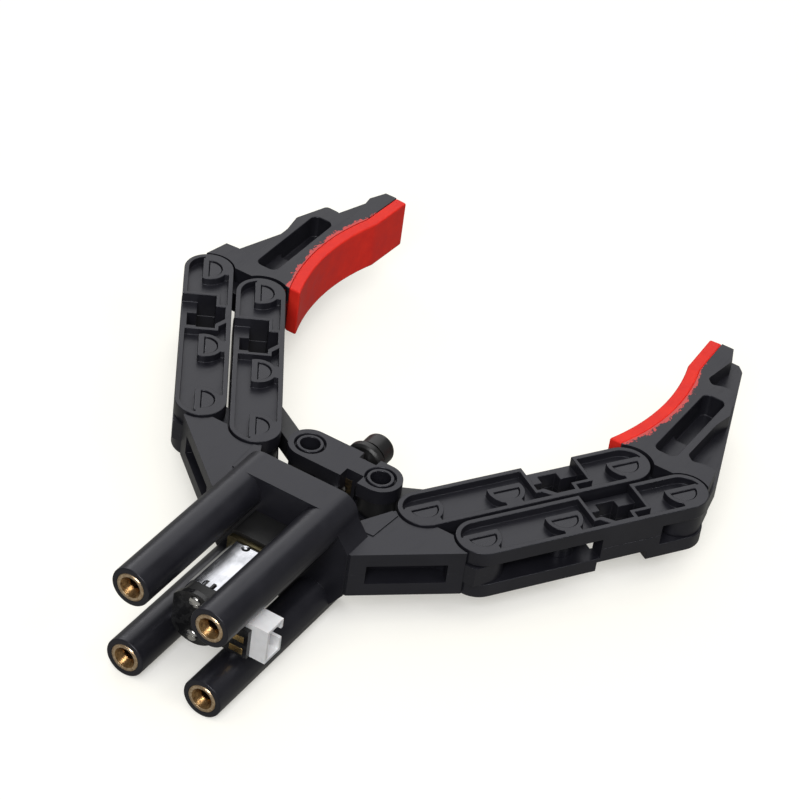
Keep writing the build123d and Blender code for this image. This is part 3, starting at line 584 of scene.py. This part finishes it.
def turned(profile, centre, axis, steps=48):
    """A bmesh spun once round an axis from a profile of points in mm."""
    shape = bmesh.new()
    corners = [shape.verts.new(Vector(point) * MM) for point in profile]
    edges = [shape.edges.new(pair) for pair in zip(corners, corners[1:])]
    bmesh.ops.spin(
        shape,
        geom=corners + edges,
        cent=Vector(centre) * MM,
        axis=axis,
        angle=tau,
        steps=steps,
        use_merge=True,
    )
    bmesh.ops.remove_doubles(shape, verts=shape.verts, dist=0.001 * MM)
    bmesh.ops.recalc_face_normals(shape, faces=shape.faces)
    return shape


def join_shapes(shapes):
    """One bmesh from several."""
    whole = bmesh.new()
    for shape in shapes:
        part = bpy.data.meshes.new("part_of_whole")
        shape.to_mesh(part)
        whole.from_mesh(part)
        shape.free()
        bpy.data.meshes.remove(part)
    return whole


def insert_brasses():
    """The four inserts: a flat ring, a countersink, and a threaded bore right through."""
    half = POST_PITCH / 2
    brasses = []
    for x in (-half, half):
        for z in (-half, half):
            bore = [(INSERT_R, 0.0), (INSERT_MOUTH_R, 0.0), (THREAD_R, INSERT_MOUTH_DEPTH)]
            depth = INSERT_MOUTH_DEPTH
            while depth + THREAD_PITCH < INSERT_LENGTH - INSERT_PLAIN:
                bore.append((THREAD_R - THREAD_ROOT, depth + THREAD_PITCH * THREAD_ROOT_AT))
                bore.append((THREAD_R, depth + THREAD_PITCH * THREAD_CREST_AT))
                depth += THREAD_PITCH
            bore += [(THREAD_R, INSERT_LENGTH), (INSERT_R, INSERT_LENGTH), (INSERT_R, 0.0)]
            profile = [(x + radius, along, z) for radius, along in bore]
            brasses.append(turned(profile, (x, 0.0, z), (0.0, 1.0, 0.0)))
    piece = piece_from(join_shapes(brasses), "insert_brasses")
    return settle(piece, "threaded_inserts")


def screw_thread():
    """Lead screw: a two-start thread, swept by turning its section as it moves along, with plain ends."""
    low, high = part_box("lead_screw")
    start, end = low[1] / MM, high[1] / MM
    section = bmesh.new()
    bmesh.ops.create_circle(section, segments=SCREW_SIDES, radius=1.0)
    for corner in section.verts:
        turn = (corner.index / SCREW_SIDES * SCREW_STARTS) % 1.0
        rise = min(1.0, max(0.0, CREST_FULL - abs(turn - 0.5) * CREST_SLOPE))
        corner.co = corner.co.normalized() * (SCREW_ROOT_R + (SCREW_R - SCREW_ROOT_R) * rise) * MM
    upright = Matrix.Rotation(radians(90), 3, "X")
    bmesh.ops.rotate(section, verts=section.verts, cent=(0, 0, 0), matrix=upright)
    bmesh.ops.translate(section, verts=section.verts, vec=(0.0, (start + SCREW_PLAIN) * MM, 0.0))
    length = end - start - 2 * SCREW_PLAIN
    turns = length / SCREW_LEAD
    steps = round(turns * SCREW_STEPS)
    bmesh.ops.spin(
        section,
        geom=section.verts[:] + section.edges[:],
        cent=(0.0, 0.0, 0.0),
        axis=(0.0, 1.0, 0.0),
        dvec=(0.0, length * MM / steps, 0.0),
        angle=tau * turns,
        steps=steps,
    )
    rims = [edge for edge in section.edges if edge.is_boundary]
    bmesh.ops.holes_fill(section, edges=rims, sides=0)
    bmesh.ops.recalc_face_normals(section, faces=section.faces)
    core = [(0.0, start, 0.0), (SCREW_ROOT_R, start, 0.0), (SCREW_ROOT_R, end, 0.0), (0.0, end, 0.0)]
    shaft = turned(core, (0.0, 0.0, 0.0), (0.0, 1.0, 0.0))
    piece = piece_from(join_shapes([section, shaft]), "screw_thread")
    return settle(piece, "lead_screw")


def number_chains(shape, sharpest):
    """Number the sharp outer edges by the chain that they belong to, in an edge layer; give the count."""
    chain = shape.edges.layers.int.new("chain")
    sharp = [edge for edge in shape.edges if edge.is_manifold and edge.calc_face_angle() > sharpest]
    waiting = set(sharp)
    count = 0
    for first in sharp:
        if first not in waiting:
            continue
        count += 1
        waiting.discard(first)
        reached = [first]
        while reached:
            edge = reached.pop()
            edge[chain] = count
            for corner in edge.verts:
                for beside in corner.link_edges:
                    if beside in waiting:
                        waiting.discard(beside)
                        reached.append(beside)
    return chain, count


def round_edges(shape, width):
    """Bevel each chain of sharp edges by itself, so that one short edge narrows only its own chain."""
    chain, count = number_chains(shape, HARD_EDGE)
    for number in range(1, count + 1):
        edges = [edge for edge in shape.edges if edge[chain] == number]
        if edges:
            bmesh.ops.bevel(
                shape,
                geom=edges,
                affect="EDGES",
                offset=width * MM,
                offset_type="OFFSET",
                segments=ROUND_SEGMENTS,
                profile=0.5,
                material=-1,
                clamp_overlap=True,
            )
            # The bevel's new edges carry the number on, so it is cleared
            for edge in shape.edges:
                if edge[chain] == number:
                    edge[chain] = 0
    for edge in shape.edges:
        edge.smooth = not (edge.is_manifold and edge.calc_face_angle() > SHARP_SHADING)


def fill_end_arcs(shape):
    """Raise the small pools left between the end bosses and the rim of an arm half to the rim's level."""
    for face in shape.faces:
        level = abs(face.calc_center_median().z) / MM
        floor = abs(face.normal.z) > FACES_UP and abs(level - ARM_RECESS_Z) < LEVEL_SLACK
        if floor and face.calc_area() / MM**2 < SMALL_POOL:
            for corner in face.verts:
                corner.co.z = ARM_TOP * MM if corner.co.z > 0.0 else -ARM_TOP * MM
    heal(shape)


def sink_pin_ends(shape):
    """Draw both ends of the pins in below the bosses."""
    for corner in shape.verts:
        if abs(corner.co.z) > (ARM_TOP - PIN_SUNK) * MM:
            corner.co.z -= PIN_SUNK * MM if corner.co.z > 0.0 else -PIN_SUNK * MM


def raise_facets(shape):
    """Lift the facets between the block and the wings a little over the wings' top."""
    for face in shape.faces:
        middle = face.calc_center_median() / MM
        level = abs(face.normal.z) > FACES_UP and abs(middle.z - FACET_Z) < LEVEL_SLACK
        if level and abs(middle.x) > FACET_X:
            for corner in face.verts:
                corner.co.z += FACET_RISE * MM


def soften(node, width, mend=None):
    """A node with its hard edges rounded, as a moulding or a machined piece has them."""
    shape = merged_copy(node)
    if mend:
        mend(shape)
    round_edges(shape, width)
    piece = piece_from(shape, f"{node}_rounded")
    level = piece.modifiers.new("flat_faces_stay_flat", "WEIGHTED_NORMAL")
    level.keep_sharp = True
    level.weight = 60
    return settle(piece, node)


def solder_mounds():
    """Mounds of solder where the two terminals pass through the board, low and wide."""
    mounds = []
    for z in (-SOLDER_Z, SOLDER_Z):
        profile = [(0.0, SOLDER_Y, z)]
        for turn in range(0, 90, 15):
            height = SOLDER_HEIGHT * sin(radians(turn)) ** SOLDER_FULLNESS
            profile.append((SOLDER_R * cos(radians(turn)), SOLDER_Y - height, z))
        profile.append((0.0, SOLDER_Y - SOLDER_HEIGHT, z))
        mounds.append(turned(profile, (0.0, 0.0, z), (0.0, 1.0, 0.0), steps=28))
    piece = piece_from(join_shapes(mounds), "solder_mounds")
    piece.data.materials.append(FINISHES["solder"].material)
    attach(piece, BODY_OF["motor_terminals"])


def camera():
    """Camera at the photograph's viewing angle."""
    azimuth = radians(CAMERA_AZIMUTH)
    elevation = radians(CAMERA_ELEVATION)
    roll = radians(CAMERA_ROLL)
    back = Vector((sin(azimuth) * cos(elevation), -cos(azimuth) * cos(elevation), sin(elevation)))
    level = Vector((cos(azimuth), sin(azimuth), 0.0))
    upright = back.cross(level)
    right = level * cos(roll) + upright * sin(roll)
    up = upright * cos(roll) - level * sin(roll)
    data = bpy.data.cameras.new("view_from_behind")
    data.lens = CAMERA_LENS
    data.sensor_width = SENSOR
    data.clip_start = 0.01
    data.clip_end = 20.0
    eye = bpy.data.objects.new("view_from_behind", data)
    turn = Matrix((right, up, back)).transposed().to_4x4()
    eye.matrix_world = Matrix.Translation((Vector(CAMERA_TARGET) + back * CAMERA_DISTANCE) * MM) @ turn
    bpy.context.scene.collection.objects.link(eye)
    bpy.context.scene.camera = eye


def lamp(name, place, aim, size, power):
    """Soft square white lamp, its place and aim in metres."""
    data = bpy.data.lights.new(name, "AREA")
    data.shape = "SQUARE"
    data.size = size
    data.energy = power
    thing = bpy.data.objects.new(name, data)
    thing.location = place
    thing.rotation_euler = (Vector(aim) - Vector(place)).to_track_quat("-Z", "Y").to_euler()
    bpy.context.scene.collection.objects.link(thing)


def studio_floor():
    """White floor that keeps the object's soft, warm shadow."""
    shape = bmesh.new()
    bmesh.ops.create_grid(shape, x_segments=1, y_segments=1, size=FLOOR_HALF)
    level = CAD_BOX[0][2] - FLOOR_BELOW * MM
    bmesh.ops.translate(shape, verts=shape.verts, vec=(0.0, FLOOR_MIDDLE, level))
    floor = piece_from(shape, "studio_floor")
    pale = Finish("studio_white", FLOOR_SEEN, 0.7, specular_ior_level=0.0)
    camera_ray = pale.ray("Camera")
    mirrored = (pale.ray("Glossy") + pale.ray("Transmission")).ramp(0.0, 1.0)
    pale.set("Base Color", pale.mix(camera_ray, FLOOR_UNSEEN, FLOOR_SEEN))
    white = {"Color": (*FLOOR_GLOW, 1.0), "Strength": FLOOR_GLOW_STRENGTH}
    glow = pale.node("ShaderNodeEmission", None, white)
    nearby = {"Distance": FLOOR_GLOW_REACH}
    free = pale.node("ShaderNodeAmbientOcclusion", {"samples": 8}, nearby, output="AO")
    opened = free.ramp(0.15, 0.75, FLOOR_GLOW_LEAST, 1.0)
    share = camera_ray * opened * FLOOR_GLOW_SHARE + mirrored * FLOOR_GLOW_MIRRORED
    blend = pale.node("ShaderNodeMixShader", None, [share])
    pale.tree.links.new(pale.surface.outputs["BSDF"], blend.socket.node.inputs[1])
    pale.tree.links.new(glow.socket, blend.socket.node.inputs[2])
    pale.tree.links.new(blend.socket, pale.output.inputs["Surface"])
    floor.data.materials.append(pale.material)


def studio():
    """White floor and surround, three broad lamps, and two small ones that make the edges glint."""
    studio_floor()
    world = bpy.data.worlds.new("studio_world")
    bpy.context.scene.world = world
    world.use_nodes = True
    air = Shading(world.node_tree)
    backdrop = world.node_tree.nodes["Background"]
    backdrop.inputs["Color"].default_value = (1.0, 1.0, 1.0, 1.0)
    mirrored = (air.ray("Glossy") + air.ray("Transmission")).ramp(0.0, 1.0)
    level = air.ray("Camera") * (1.0 - WORLD_FILL) + mirrored * WORLD_MIRRORED + WORLD_FILL
    air.feed(backdrop.inputs["Strength"], level)
    centre = Vector(STUDIO_MIDDLE)
    for name, azimuth, elevation, distance, size, power in LAMPS:
        turn, rise = radians(azimuth), radians(elevation)
        away = Vector((sin(turn) * cos(rise), -cos(turn) * cos(rise), sin(rise)))
        lamp(name, centre + away * distance, centre, size, power)


def dress():
    """Rebuild the inserts and the lead screw, add the solder, round every other CAD node's edges, and give
    each its finish.
    """
    insert_brasses()
    screw_thread()
    solder_mounds()
    for node in sorted(set(NODES) - {"threaded_inserts", "lead_screw"}):
        mend = None
        if "arm_pins" in node:
            width = ROUND["small"]
            mend = sink_pin_ends
        elif "inner_arm" in node or "outer_arm" in node:
            width = ROUND["arm"]
            mend = fill_end_arcs
        elif "finger_pad" in node:
            width = ROUND["pad"]
        elif "finger" in node:
            width = ROUND["finger"]
        elif node.startswith("base"):
            width = ROUND["base"]
            mend = raise_facets
        elif "crosshead" in node:
            width = ROUND["crosshead"]
        elif "link" in node:
            width = ROUND["link"]
        else:
            width = ROUND["small"]
        soften(node, width, mend=mend)


camera()
studio()
dress()

bpy.context.scene.view_settings.view_transform = "Standard"
